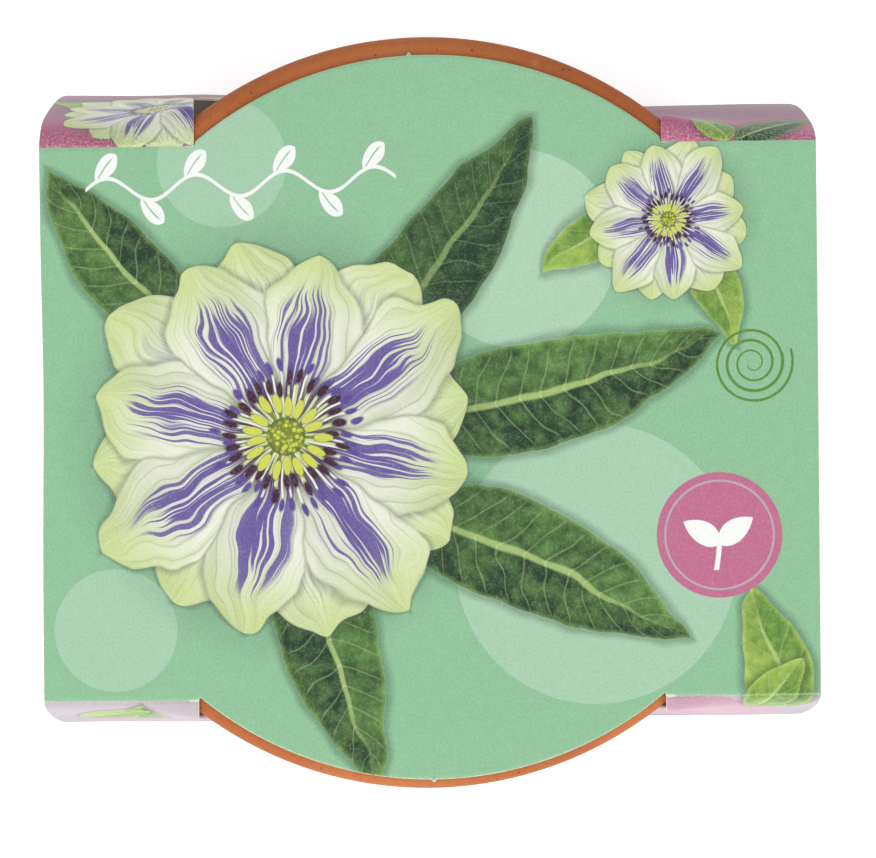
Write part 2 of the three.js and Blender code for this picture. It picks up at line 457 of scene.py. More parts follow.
@Motif
def stamens(graph, under, radius, angle, count, turn, start, end, thick, stalk, head):
    """A ring of thin stalks with a longish head on each."""
    index, place = ring_place(graph, angle, count, turn)
    lean = (graph.random(index + turn + 7.1) - 0.5) * 0.25
    across = radius * (place - 0.5 + lean) * TAU / count
    reach = end * (graph.random(index + turn) * 0.3 + 0.76)
    on_stalk = abs(across).step(thick * 1.4, thick * 0.7)
    on_stalk = on_stalk * radius.step(start, start + 0.3) * (radius - reach).step(0.1, 0.0)
    under = graph.paint(under, stalk, on_stalk)
    from_head = ((radius - reach) / (thick * 6.5)) ** 2.0 + (across / (thick * 2.7)) ** 2.0
    under = graph.paint(under, GREY_INK, from_head.step(1.7, 1.1) * 0.5)
    return {"colour": graph.paint(under, head, from_head.step(1.1, 0.7))}


PETAL_RINGS = (  # count, turn, reach, width, seed, bars
    (8.0, 8.5, 30.5, 8.2, 4.0, 0.25),
    (8.0, 8.0, 31.0, 8.0, 11.0, 1.0),
)
STAMEN_RINGS = (  # count, turn, start, end, thickness, stalk, head
    (40.0, 42.0, 2.0, 10.2, 0.14, PETAL, VIOLET),
    (31.0, 36.0, 2.0, 8.2, 0.17, PETAL_TIP, MAROON),
    (17.0, 19.0, 0.5, 5.2, 0.22, OLIVE, POLLEN),
)
HEART_RADIUS = 2.9


@Motif
def bloom(graph, under, local, warp):
    """An open bloom: two rings of pale petals, violet bars on the front ones, and a boss of stamens."""
    x, y, _ = graph.split(local)
    radius = graph.distance(local) * ((warp - 0.5) * 0.06 + 1.0)
    angle = graph.angle(x, y) + (warp - 0.5) * 0.2
    under = graph.paint(under, DEEP_GREEN, radius.step(34.0, 22.0) * 0.3)
    for ring in PETAL_RINGS:
        under = petals(graph, under, radius, angle, *ring)
    under = graph.paint(under, MAROON, radius.step(10.5, 5.5) * 0.8)
    for ring in STAMEN_RINGS:
        under = stamens(graph, under, radius, angle, *ring)
    pips = graph.cells(local, 1.5)
    heart = graph.paint(POLLEN, OLIVE, pips.step(0.25, 0.62))
    heart = graph.paint(heart, DEEP_GREEN, radius.step(1.8, HEART_RADIUS) * 0.6)
    return {"colour": graph.paint(under, heart, radius.step(HEART_RADIUS, HEART_RADIUS - 0.3))}


@Motif
def tendril(graph, under, local, pitch, turns, thick, tint):
    """A curled tendril: a spiral whose line thins towards its middle."""
    x, y, _ = graph.split(local)
    radius = graph.distance(local)
    coil = radius / pitch - graph.angle(x, y) / TAU
    off = abs(coil.fraction() - 0.5) * pitch
    width = thick * 0.5 * radius.step(-2.0, pitch * turns)
    line = (width - off).step(-INK_EDGE / 2, INK_EDGE / 2)
    line = line * coil.step(turns, turns - 0.02) * radius.step(pitch * 0.4, pitch * 0.6)
    return {"colour": graph.paint(under, tint, line)}


HALF_WAVE = 6.5
GARLAND_LEAF = 5.0
LEAF_TURN = (0.62, 0.785)  # cosine and sine of the angle between the stem and a leaf


@Motif
def garland(graph, under, local, length, tint):
    """A drawn line of stem with a leaf at every half wave, on alternate sides."""
    x, y, _ = graph.split(local)
    y = y - (x * (math.pi / HALF_WAVE)).sine() * 1.7
    stem = abs(y).step(0.36, 0.22)
    number = x / HALF_WAVE
    place = number.fraction()
    up = ((number - place) * 0.5).fraction() * 4.0 - 1.0
    forward = (place - 0.28) * HALF_WAVE
    rise = y * up * -1.0
    along = forward * LEAF_TURN[0] + rise * LEAF_TURN[1]
    across = rise * LEAF_TURN[0] - forward * LEAF_TURN[1]
    t = (along / GARLAND_LEAF).clamp()
    half = (t**0.62) * ((1.0 - t) ** 0.8) * 3.6
    leaf = (half - abs(across)).step(0.0, 0.15)
    slit = abs(across).step(0.16, 0.06) * t.step(0.9, 0.6)
    drawn = stem.larger(leaf * (1.0 - slit))
    ends = x.step(0.0, 0.3) * x.step(length, length - 0.3)
    return {"colour": graph.paint(under, tint, drawn * ends)}


# ---------- the sleeve's pictures

# Places are on the unfolded card, from the middle of the top panel. The back wall is up, the front wall down.
# patches: place, radius, ink, share. leaves: stalk end, direction, length, half width, fresh or not, bend.
# blooms: place, size, turn. A bloom of size 1 is 31 mm from its middle to its petals' tips.

LEAVES_OVER_FOLD = (((52, -47), 104, 23, 5.0, 1, 0.14), ((47, -46), 60, 13, 3.6, 1, -0.14))
TOP_PICTURE = {
    "ground": MINT,
    "patches": (
        ((13, 25), 14.5, VEIL, 0.4),
        ((24, -21), 20.5, VEIL, 0.32),
        ((-46, -30), 9.0, VEIL, 0.3),
        ((-30, 38), 9.5, VEIL, 0.26),
    ),
    "leaves": (
        ((-16, 4), 52, 51, 7.6, 0, 0.16),
        ((-6, 0), 14, 50, 8.0, 0, 0.14),
        ((-8, -12), -24, 50, 7.9, 0, -0.14),
        ((-20, -10), -74, 45, 7.2, 0, 0.1),
        ((-34, 12), 131, 33, 6.2, 0, -0.12),
        ((33, 31), -150, 19, 3.6, 1, 0.16),
        ((38, 26), -66, 17, 3.4, 1, -0.16),
        *LEAVES_OVER_FOLD,
    ),
    "blooms": (((-21, -2), 1.03, 9), ((35, 29), 0.42, 30)),
    "extras_boxes": ((-51, 28, -4, 42), (40, 1, 54, 15), (32, -27, 52, -7)),
}
BACK_PICTURE = {
    "ground": DUSTY_PINK,
    "shade_ink": MAUVE,
    "patches": (((-6, 72), 24.0, PALE_PINK, 0.3), ((30, 100), 20.0, PALE_PINK, 0.25)),
    "leaves": (
        ((-42, 50), 12, 27, 5.2, 1, 0.12),
        ((-38, 52), 150, 22, 4.6, 1, -0.12),
        ((2, 92), 30, 46, 8.0, 0, 0.14),
        ((4, 92), 152, 46, 8.0, 0, -0.14),
        ((4, 88), 262, 34, 6.6, 0, 0.1),
        ((45, 40.6), 38, 15, 3.4, 0, 0.14),
        ((44, 40.6), 120, 9, 2.8, 1, -0.1),
    ),
    "blooms": (((-40, 53), 0.5, 8), ((4, 90), 0.86, 20)),
}
FRONT_PICTURE = {
    "ground": PALE_PINK,
    "shade_ink": LILAC,
    "patches": (((-22, -80), 38.0, ROSE, 0.5), ((37, -54.5), 15.0, ROSE, 0.8), ((34, -108), 22.0, ROSE, 0.4)),
    "leaves": (
        ((2, -90), 24, 46, 7.8, 0, 0.14),
        ((0, -88), 156, 46, 7.8, 0, -0.14),
        ((2, -86), 84, 36, 6.4, 1, 0.1),
        *LEAVES_OVER_FOLD,
        ((-45, -54), 78, 13, 4.6, 1, 0.1),
        ((-52, -52), 40, 14, 3.6, 1, -0.1),
    ),
    "blooms": (((2, -88), 0.8, 40),),
}
BASE_PICTURE = {
    "ground": MINT,
    "patches": (((0, -176), 24.0, VEIL, 0.35),),
    "leaves": (((-14, -190), 44, 40, 7.0, 1, 0.12),),
}

LEAF_MARGIN = 5.0  # how far a leaf's bend and shadow may reach past its half width
BLOOM_REACH = 35.0  # from the middle of a bloom of size 1 to the end of its shadow
DEEP_INK_REACH = 14.0  # from the fold to where a wall's painted shade is at its fullest


def draw_leaves(graph, under, where, leaves, mottle, wander):
    """All leaves of a picture. Each lies over the ones before it and throws a soft shadow on them."""
    gap, leaf, shade = None, None, None
    for at, degrees, length, width, fresh, bend in leaves:
        local = graph.local(where, at, degrees)
        new_gap, new_leaf = leaf_outline(graph, local, length, width, bend, fresh, wander)
        near = new_gap.step(-1.5, 0.0) * 0.45
        if gap is None:
            gap, leaf, shade = new_gap, new_leaf, near
            continue
        over = new_gap.step(0.0, INK_EDGE / 2)
        gap = graph.blend(gap, new_gap, over)
        leaf = graph.switch(leaf, new_leaf, over)
        shade = shade.larger(near) * (1.0 - over)
    under = leaf_ink(graph, under, leaf, gap, mottle, wander)
    return graph.paint(under, DEEP_GREEN, shade)


def draw_blooms(graph, under, where, blooms, warp):
    """All blooms of a picture, by one drawing that is moved to the nearest of them."""
    local = graph.local(where, blooms[0][0], blooms[0][2], blooms[0][1])
    for at, size, turn in blooms[1:]:
        other = graph.local(where, at, turn, size)
        near = graph.distance(other).step(BLOOM_REACH + 1.0, BLOOM_REACH + 0.9)
        local = graph.switch(local, other, near)
    return bloom(graph, under, local, warp)


def top_extras(graph, colour, where):
    """Small things on the top panel: a drawn garland, a curled tendril, and a round badge with a sprout."""
    curl = {"pitch": 1.5, "turns": 3.6, "thick": 0.5, "tint": FRESH_DARK}
    colour = tendril(graph, colour, graph.local(where, (47, 8), 200), **curl)
    colour = garland(graph, colour, graph.local(where, (-50, 34), 2), length=45.5, tint=WHITE_INK)
    badge = graph.local(where, (42, -17))
    colour = patch(graph, colour, badge, radius=9.2, tint=DUSTY_PINK, share=1.0)
    colour = round_line(graph, colour, badge, radius=7.9, thick=0.3, tint=PALE_PINK)
    for degrees, bend in ((38, -0.1), (148, 0.1)):
        local = graph.local(where, (42, -18.3), degrees)
        gap, _ = leaf_outline(graph, local, length=6.2, width=1.7, bend=bend, fresh=0.0, wander=0.5)
        colour = graph.paint(colour, WHITE_INK, gap.inside())
    x, y, _ = graph.split(badge)
    stem = abs(x + y * y * 0.02).step(0.42, 0.3) * y.step(-5.2, -5.0) * y.step(-1.0, -1.3)
    return graph.paint(colour, WHITE_INK, stem)


LEAVES, EXTRAS, BLOOMS = 1, 2, 4  # the kinds of motif, as bits of one number


def nearby(picture, middles):
    """For each place on the print, the sum of the kinds of motif that may touch it."""
    kinds = np.zeros(len(middles), int)
    for at, degrees, length, width, _, _ in picture["leaves"]:
        along = np.array([math.cos(math.radians(degrees)), math.sin(math.radians(degrees))])
        t = np.clip((middles - at) @ along, 0, length)
        off = middles - at - t[:, None] * along
        kinds[np.hypot(*off.T) < width + LEAF_MARGIN] |= LEAVES
    for x0, y0, x1, y1 in picture.get("extras_boxes", ()):
        x, y = middles.T
        kinds[(x0 < x) & (x < x1) & (y0 < y) & (y < y1)] |= EXTRAS
    for at, size, _ in picture.get("blooms", ()):
        kinds[np.hypot(*(middles - at).T) < size * BLOOM_REACH + 1] |= BLOOMS
    return kinds


def bare_folds(x, y, fine, toward_front):
    """Bare card in the folds: cracks that start at the slots' corners, and a pale line along each fold, which
    is partly rubbed wear and partly a painted highlight, stronger towards the front where the light falls.
    """
    off_fold = abs(abs(y) - TOP_FOLD) + abs(x).step(SLOT_HALF_TOP, SLOT_HALF_TOP - 0.8) * 5.0
    from_corner = abs(abs(x) - (SLOT_HALF_TOP + 0.5))
    wide = from_corner.step(1.5, 0.0) * (toward_front * 0.26 + 0.1)
    crack = (off_fold + (fine - 0.5) * 0.4).step(wide, wide * 0.3) * wide.step(0.01, 0.1)
    rubbed = off_fold.step(0.32, 0.08) * (fine.step(0.35, 0.7) * 0.2 + 0.16)
    return crack * 0.75 + rubbed * (toward_front * 0.9 + 0.1)


def printed_card(name, picture, kinds):
    """Satin card with a picture: fine ink grain, paler cut edges, and creases cracked at the slots' corners.
    The pale edges and fold lines are partly wear and partly a painted highlight, laid on more strongly
    towards the front.

    A picture takes several such materials, which differ only in the kinds of motif that they draw. Each face
    has the one with the motifs that may touch it, which keeps rendering quick.
    """

    def draw(graph):
        x, y, edge = graph.split(graph.on_print())
        flat = graph.vector(x, y)
        wander = graph.noise(flat, 0.13, 1.0, 0.5, "2D")
        mottle = graph.noise(flat, 0.55, 3.0, 0.6, "2D")
        fine = graph.noise(flat, 2.7, 1.0, 0.6, "2D")
        colour = picture["ground"]
        # Painted shade: a wall's ground darkens with depth below the fold, standing for the shade the wall
        # takes as it turns away from the light
        if "shade_ink" in picture:
            deep = abs(y).step(TOP_FOLD, TOP_FOLD + DEEP_INK_REACH) * 0.75
            colour = graph.paint(colour, picture["shade_ink"], deep)
        for at, radius, tint, share in picture["patches"]:
            colour = patch(graph, colour, graph.local(flat, at), radius, tint, share)
        if kinds & LEAVES:
            colour = draw_leaves(graph, colour, flat, picture["leaves"], mottle, wander)
        if kinds & EXTRAS:
            colour = top_extras(graph, colour, flat)
        if kinds & BLOOMS:
            colour = draw_blooms(graph, colour, flat, picture["blooms"], wander)
        by_slots = abs(x).step(SLOT_HALF_TOP - 0.2, SLOT_HALF_TOP)
        speckled = y.step(TOP_FOLD, TOP_FOLD + 0.2) * y.step(TOP_FOLD + 5.0, TOP_FOLD) * by_slots
        grain = (fine - 0.5) * (speckled * 1.1 + 0.3) + (mottle - 0.5) * 0.12 + speckled * 0.03
        colour = graph.paint(colour, WHITE_INK, (grain * 0.8).clamp())
        colour = graph.paint(colour, DEEP_GREEN, (grain * -0.7).clamp())
        # Painted highlight: the pale cut edges and fold lines grow stronger towards the front, where the key
        # light falls
        toward_front = y.step(20.0, -20.0)
        worn = (edge + (fine - 0.5) * 0.8).step(0.5, 0.95) * (toward_front * 0.6 + 0.2)
        torn = edge.step(1.0, 1.7) * 0.6
        bare = (worn + torn + bare_folds(x, y, fine, toward_front)).clamp()
        colour = graph.paint(colour, BARE_CARD, bare)
        rough = (fine - 0.5) * 0.2 + bare * 0.3 + 0.42
        return colour, rough, graph.bump(fine + mottle, 0.02), 0.2

    return finish(name, draw)


def bare_card(name, tone, dirt):
    """Unprinted card, with short fibres and flecks."""

    def draw(graph):
        where = graph.place()
        fibre = graph.noise(where, 1.2, 3.0, 0.7)
        fleck = graph.noise(where, 3.1, 1.0).step(0.62, 0.74)
        colour = graph.paint(tone, dirt, fibre.step(0.35, 0.85))
        colour = graph.paint(colour, dirt, fleck * 0.6)
        return colour, 0.85, graph.bump(fibre, 0.08), 0.25

    return finish(name, draw)


# ---------- the sleeve's card

FRONT_WALL = {  # each pair of numbers is for the wall's left end and its right end
    "side": -1,
    "shoulder": (1.1, 1.1),  # how far the card stands off just below the fold
    "belly": (6.1, 6.15),  # how far it swells half way down
    "push": (1.35, 1.15),  # how far the pot's rim pushes it out beside the slots
    "push_fade": (25.0, 19.0),
    "pinch": (0.9, 1.3),  # how far it lies back in lower down there
    "pinch_reach": 10.0,
}
BACK_WALL = {
    "side": 1,
    "shoulder": (3.0, 1.5),
    "belly": (10.75, 9.25),
    "push": (3.6, 3.3),
    "push_fade": (13.0, 9.0),
    "pinch": (0.0, 1.9),
    "pinch_reach": 12.5,
}
SHOULDER_DEPTH = 0.9  # how fast a wall reaches its shoulder beside the slots
END_SHOULDER_DEPTH = 1.7  # the same at its ends
SHOULDER_REACH = 10.0
PUSH_WIDTH = 7.0
PINCH_DEPTH = 19.0
NICK_X = {1: -2.6, -1: 0.1}  # where the back tab and the front tab are nicked
NICK_HEIGHT = 0.4
NICK_WIDTH = 0.55
LEFT_END_BOW = 0.32  # how far the cut at the panel's left end curves in
LEFT_END_BOW_AT = 5.0
LEFT_END_BOW_REACH = 18.0
SLEEVE_SKEW = 0.0012  # the card is folded a hair out of square
CREASE = 0.7  # from a fold to where the card is straight again
CREASE_STEPS = 6
BOTTOM_ROUND = 0.9
BOTTOM_ARC = 1.3  # length of the print on the bottom fold
FLAP_ARC = 1.6  # the same on the flap's fold
BACK_FOOT = 0.35  # height of the back wall's cut edge
BASE_SHORT = 1.0  # from the base's end to the back wall's inside
FLAP_GAP = 0.04
PANEL_ROWS = 91
BASE_ROWS = 26
SHALLOW = 3.0  # a wall's rows are closest together above this depth
SHALLOW_ROWS = 10
MIDDLE_DEPTHS = (3.8, 4.8, 6, 7.5, 9, 11, 13, 15, 17, 18.8, 19.75, 20, 20.25, 21.5)
DEEP = 24.0
DEEP_ROWS = 34
DEPTH_SAMPLES = 1600
FLAP_HEIGHTS = (1.2, 2, 3.2, 5, 7, 9, 11, 12.6, FLAP_HEIGHT - 0.3, FLAP_HEIGHT)


def bell(distance, reach):
    """1 where the distance is 0, and falling away smoothly on both sides."""
    return np.exp(-((distance / reach) ** 2))


def between(pair, share):
    """The first of a pair where the share is 0, the second where it is 1."""
    return pair[0] + (pair[1] - pair[0]) * share


def bent(start, corner, end, t):
    """A point on the bend from start to end, which heads for the corner at both of them."""
    return (1 - t) ** 2 * start + 2 * t * (1 - t) * corner + t**2 * end


def points_at(x, y, z):
    return np.stack(np.broadcast_arrays(x, y, z), -1)


def wall_out(wall, x, depth):
    """How far a wall's outside is from the sleeve's middle, at a place along it and a depth below the top."""
    along = np.minimum(1, (x + SLEEVE_HALF) / (SLEEVE_HALF + SLOT_HALF_TOP))
    share = depth / SLEEVE_TOP
    left = x < 0
    from_slot = np.abs(x) - SLOT_HALF_TOP
    by_slot = bell(from_slot, PUSH_WIDTH)
    push = np.where(left, *wall["push"]) * by_slot * np.exp(-depth / np.where(left, *wall["push_fade"]))
    pinch = np.where(left, *wall["pinch"]) * by_slot * bell(depth - PINCH_DEPTH, wall["pinch_reach"])
    stand = between(wall["shoulder"], along) * (1 - share) + push
    slow = between((END_SHOULDER_DEPTH, SHOULDER_DEPTH), bell(from_slot, SHOULDER_REACH))
    line = between((TOP_FOLD, BOTTOM_FOLD), share) + between(wall["belly"], along) * np.sin(math.pi * share)
    return line + stand * (1 - np.exp(-depth / slow)) - pinch


def tab_reach(side, x):
    """Distance from the panel's middle line to a tab's round edge."""
    radius = TAB_RADIUS + NICK_HEIGHT * np.exp(-(((x - NICK_X[side]) / (NICK_WIDTH / 2)) ** 4))
    centre = TAB_CENTRE_Y - SLEEVE_SHIFT
    return side * centre + np.sqrt(np.maximum(radius**2 - x**2, 0))


def column_shares():
    """Where the strip's columns are, as shares of its part left of the slots and of its middle part."""
    side = np.concatenate([[0, 0.012], np.linspace(0.05, 0.95, 26), [0.988, 1]])
    slot_width = 2 * SLOT_HALF_TOP
    offsets = (-0.6, -0.45, -0.32, -0.2, 0, 0.2, 0.32, 0.45, 0.6)
    at_nicks = [(x + off) / slot_width + 0.5 for x in NICK_X.values() for off in offsets]
    even = np.linspace(0.012, 0.988, 75)
    return side, np.array(sorted([KERF / slot_width, 1 - KERF / slot_width, *even, *at_nicks]))


SIDE, MIDDLE = column_shares()
COLUMNS = 2 * len(SIDE) + len(MIDDLE)
IN_SLOT = np.zeros(COLUMNS, bool)
IN_SLOT[len(SIDE) : -len(SIDE)] = True


def spread(slot_half):
    """x of every column, where the slot's sides are slot_half from the middle."""
    left = -SLEEVE_HALF + SIDE * (SLEEVE_HALF - slot_half)
    centre = -slot_half + MIDDLE * 2 * slot_half
    return np.concatenate([left, centre, -left[::-1]])


TOP_X = spread(SLOT_HALF_TOP)


def wall_rows(wall, last_depth):
    """Rows of one wall from its crease down: points, lengths along the card from the fold, and depths."""
    depth = np.linspace(0, 1, DEPTH_SAMPLES)[:, None] ** 2 * SLEEVE_TOP * np.ones(COLUMNS)
    steps = np.hypot(np.diff(wall_out(wall, TOP_X, depth), axis=0), np.diff(depth, axis=0))
    length = np.vstack([np.zeros(COLUMNS), np.cumsum(steps, axis=0)])

    def convert(values, known, wanted):
        """Depths to lengths or back, in every column."""
        return np.array([np.interp(values[c], known[:, c], wanted[:, c]) for c in range(COLUMNS)])

    to_shallow = convert(np.full(COLUMNS, SHALLOW), depth, length)
    shares = np.linspace(0, 1, SHALLOW_ROWS)
    rows = [convert(between((CREASE, to_shallow), share), length, depth) for share in shares]
    rows += [np.full(COLUMNS, d) for d in (*MIDDLE_DEPTHS, *np.linspace(DEEP, last_depth, DEEP_ROWS))]
    points, lengths = [], []
    for row in rows:
        at_slot = min(1, row[len(SIDE) - 1] / SLOT_DEPTH)
        x = spread(between((SLOT_HALF_TOP, SLOT_HALF_BOTTOM), at_slot))
        points.append(points_at(x, wall["side"] * wall_out(wall, x, row) + SLEEVE_SHIFT, SLEEVE_TOP - row))
        lengths.append(convert(row, depth, length))
    return points, lengths, [row[0] for row in rows]


def half_strip(wall, last_depth):
    """Rows from the panel's edge down a wall: points, places along the print, and whether the slot cuts them.

    The card of a fold is rounded. Its halfway row is the fold itself, where the tabs are cut free.
    """
    sign = wall["side"]
    points, lengths, depths = wall_rows(wall, last_depth)
    start = points_at(TOP_X, sign * (TOP_FOLD - CREASE) + SLEEVE_SHIFT, SLEEVE_TOP)
    corner = points_at(TOP_X, sign * TOP_FOLD + SLEEVE_SHIFT, SLEEVE_TOP)
    rows = []
    for t in np.arange(1, CREASE_STEPS) / CREASE_STEPS:
        along = TOP_FOLD - CREASE + 2 * CREASE * t
        row = bent(start, corner, points[0], t)
        at = np.full(COLUMNS, sign * along)
        if t <= 0.5:
            reach = tab_reach(sign, TOP_X) * along / TOP_FOLD
            row[IN_SLOT, 1] = (sign * reach + SLEEVE_SHIFT)[IN_SLOT]
            row[IN_SLOT, 2] = SLEEVE_TOP
            at[IN_SLOT] = row[IN_SLOT, 1] - SLEEVE_SHIFT
        rows.append((row, at, t > 0.5))
    for row, length, depth in zip(points, lengths, depths):
        rows.append((row, sign * (TOP_FOLD + length), depth < SLOT_DEPTH))
    return rows


def flap_rows(x):
    """The glued flap, which follows the inside of the back wall."""
    rows = []
    for height in FLAP_HEIGHTS:
        depth = SLEEVE_TOP - height
        out = wall_out(BACK_WALL, x, depth)
        slope = (wall_out(BACK_WALL, x, depth - 0.5) - out) / 0.5
        inward = (BOARD + FLAP_GAP) / np.hypot(1, slope)
        rows.append(points_at(x, out - inward + SLEEVE_SHIFT, height + inward * slope))
    return rows


def corners(grid):
    """Views of a grid with the first, second, third and fourth corner of every square, going round it."""
    return grid[:-1, :-1], grid[:-1, 1:], grid[1:, 1:], grid[1:, :-1]


def strip():
    """The whole strip of card as one grid, from the back wall's foot over the top and under to the flap.

    Returns the points, their places on the print, which squares are card, and the rows where the pieces part.
    """
    back = half_strip(BACK_WALL, SLEEVE_TOP - BACK_FOOT)
    front = half_strip(FRONT_WALL, SLEEVE_TOP - BOTTOM_ROUND)
    panel = []
    for share in np.linspace(-1, 1, PANEL_ROWS)[::-1] * (1 - CREASE / TOP_FOLD):
        y = share * np.where(IN_SLOT, tab_reach(1 if share > 0 else -1, TOP_X), TOP_FOLD)
        panel.append((points_at(TOP_X, y + SLEEVE_SHIFT, SLEEVE_TOP), y, False))
    rows = [*back[::-1], *panel, *front]
    part_back = len(back) - CREASE_STEPS // 2
    part_front = len(back) + len(panel) + CREASE_STEPS // 2 - 1
    part_base = len(rows) - 1

    foot, length, _ = rows[-1]
    x = foot[:, 0]
    corner = points_at(x, -BOTTOM_FOLD + SLEEVE_SHIFT, 0)
    flat = corner + [0, BOTTOM_ROUND, 0]
    for t in (0.25, 0.5, 0.75, 1):
        rows.append((bent(foot, corner, flat, t), length - BOTTOM_ARC * t, False))
    length = rows[-1][1]
    start = flat[0, 1]
    for y in np.linspace(start, BOTTOM_FOLD + SLEEVE_SHIFT - BOARD - BASE_SHORT, BASE_ROWS)[1:]:
        rows.append((points_at(x, y, 0), length - (y - start), False))
    before, length, _ = rows[-1]
    flap = flap_rows(x)
    knee = points_at(x, flap[0][:, 1] - 0.15, 0)
    for t in (0.3, 0.55, 0.8):
        rows.append((bent(before, knee, flap[0], t), length - FLAP_ARC * t, False))
    for height, points in zip(FLAP_HEIGHTS, flap):
        rows.append((points, length - 1 - height, False))

    grid, lengths, cut = (np.array(part) for part in zip(*rows))
    prints = np.stack([grid[..., 0], lengths], -1)
    card = ~np.any(corners(cut[:, None] & IN_SLOT), axis=0)
    return grid, prints, card, (part_back, part_front, part_base)


MOUTH_RADIUS = 47.0  # of the pot, where nothing holds the lid up
FOLD_HOLD = 25.0  # how far a fold keeps a wall flat
WALL_WAVE = 0.4


def warp(grid):
    """How far the card stands off its flat shape. The lid only sags, and most over the pot's mouth."""
    height = np.zeros(grid.shape[:2])
    for spot in np.ndindex(height.shape):
        point = grid[spot]
        wave = noise.noise(Vector(point * 0.03)) + noise.noise(Vector(point * 0.075)) * 0.35
        if point[2] > SLEEVE_TOP - 0.1:
            over_mouth = max(0.0, 1 - (math.hypot(point[0] - POT_AXIS_X, point[1]) / MOUTH_RADIUS) ** 2)
            height[spot] = -0.05 - (0.5 + 0.3 * wave) * over_mouth - 0.05 * (wave + 1)
        elif point[2] < 0.1:
            height[spot] = -0.06 - 0.05 * (wave + 1)
        else:
            from_fold = min(SLEEVE_TOP - point[2], point[2])
            height[spot] = wave * WALL_WAVE * min(1.0, from_fold / FOLD_HOLD)
    return height


def grid_normals(grid, card):
    """Unit normals at the grid's points, from the squares that are card."""
    a, b, c, d = corners(grid)
    face = np.cross(c - a, b - d) * card[..., None]
    total = np.zeros_like(grid)
    for part in corners(total):
        part += face
    return total / np.maximum(np.linalg.norm(total, axis=-1, keepdims=True), 1e-12)


def border(card):
    """Which grid points lie on the cut edge of the card."""
    around = np.sum(corners(np.pad(card, 1)), axis=0)
    return (around > 0) & (around < 4)


def card_piece(name, first, last, sheet, card, picture, backing):
    """Rows first to last of the strip as one closed piece of card: outside, inside and cut edges.

    backing is the materials of the cut edges and of the inside.
    """
    outer, inner, normal, prints, edge = (part[first : last + 1] for part in sheet)
    card = card[first:last]
    used = np.zeros(outer.shape[:2], bool)
    for part in corners(used):
        part |= card
    total = used.sum()
    number = np.full(used.shape, -1)
    number[used] = np.arange(total)
    looks, look_of = np.unique(nearby(picture, sum(corners(prints))[card] / 4), return_inverse=True)
    faces, slots, normals = [], [], []
    for (r, c), look in zip(np.argwhere(card), look_of):
        spots = ((r, c), (r, c + 1), (r + 1, c + 1), (r + 1, c))
        faces += [[number[spot] for spot in spots[::-1]], [number[spot] + total for spot in spots]]
        normals += [normal[spot] for spot in spots[::-1]] + [-normal[spot] for spot in spots]
        slots += [len(backing) + look, 1]
    points = np.concatenate([outer[used], inner[used]])

    def cut_edge(a, b):
        quad = [number[a], number[b], number[b] + total, number[a] + total]
        across = np.cross(points[quad[1]] - points[quad[0]], points[quad[3]] - points[quad[0]])
        faces.append(quad)
        slots.append(0)
        normals.extend([across / max(np.linalg.norm(across), 1e-9)] * 4)

    padded = np.pad(card, 1)
    for r, c in np.argwhere(padded[1:-1, :-1] != padded[1:-1, 1:]):
        ends = ((r, c), (r + 1, c))
        cut_edge(*(ends if padded[r + 1, c] else ends[::-1]))
    for r, c in np.argwhere(padded[:-1, 1:-1] != padded[1:, 1:-1]):
        ends = ((r, c), (r, c + 1))
        cut_edge(*(ends[::-1] if padded[r, c + 1] else ends))
    marks = np.concatenate([prints, edge[..., None]], -1)[used]
    fronts = [printed_card(f"{name}_print_{kinds}", picture, int(kinds)) for kinds in looks]
    made = add_mesh(name, points, faces, [*backing, *fronts], slots, normals, np.concatenate([marks, marks]))
    place(made, "printed_card", "sleeve")


EDGE_DENT = 0.09  # how far the outside draws back at a cut edge
EDGE_THINNING = 0.16
TORN = 2.0  # the edge mark of a nick. Other cut edges have 1


def build_sleeve():
    grid, prints, card, (part_back, part_front, part_base) = strip()
    to_left_end = np.clip((-grid[..., 0] - SLOT_HALF_BOTTOM) / (SLEEVE_HALF - SLOT_HALF_BOTTOM), 0, 1)
    grid[..., 0] += LEFT_END_BOW * to_left_end * bell(prints[..., 1] - LEFT_END_BOW_AT, LEFT_END_BOW_REACH)
    grid[..., 1] += SLEEVE_SKEW * grid[..., 0]
    edge = border(card).astype(float)
    grid += grid_normals(grid, card) * (warp(grid) - edge * EDGE_DENT)[..., None]
    normal = grid_normals(grid, card)
    inner = grid - normal * (BOARD - edge * EDGE_THINNING)[..., None]
    for side, x in NICK_X.items():
        by_nick = np.abs(prints[..., 0] - x) < NICK_WIDTH * 0.6
        by_tab_edge = np.abs(side * prints[..., 1] - TAB_RADIUS) < 2
        edge[by_nick & by_tab_edge & (edge > 0)] = TORN
    sheet = (grid, inner, normal, prints, edge)
    core = bare_card("card_core", ink(240, 234, 218), ink(206, 198, 178))
    # The inside's dark tones are painted shade, standing for the shadow deep inside the sleeve
    inside = bare_card("card_inside_shaded", ink(112, 104, 94), ink(80, 74, 67))
    parts = (
        ("sleeve_back_wall", 0, part_back, BACK_PICTURE),
        ("sleeve_top_panel", part_back, part_front, TOP_PICTURE),
        ("sleeve_front_wall", part_front, part_base, FRONT_PICTURE),
        ("sleeve_base_and_flap", part_base, len(grid) - 1, BASE_PICTURE),
    )
    for name, first, last, picture in parts:
        card_piece(name, first, last, sheet, card, picture, [core, inside])


# ---------- pot

POT_OUTLINE = (  # radius, height and rounding of each corner, from the drain hole out, up, in and down
    (5.5, 0, 0.8),
    (35, 0, 1.6),
    (45.2, 75, 0.9),
    (54.3, 75.4, 1.2),
    (55.2, POT_HEIGHT, 3),
    (48.4, POT_HEIGHT, 1.6),
    (47.5, 77, 2),
    (41, 72, 2),
    (31, POT_FLOOR, 3.5),
    (5.5, POT_FLOOR, 0.8),
)


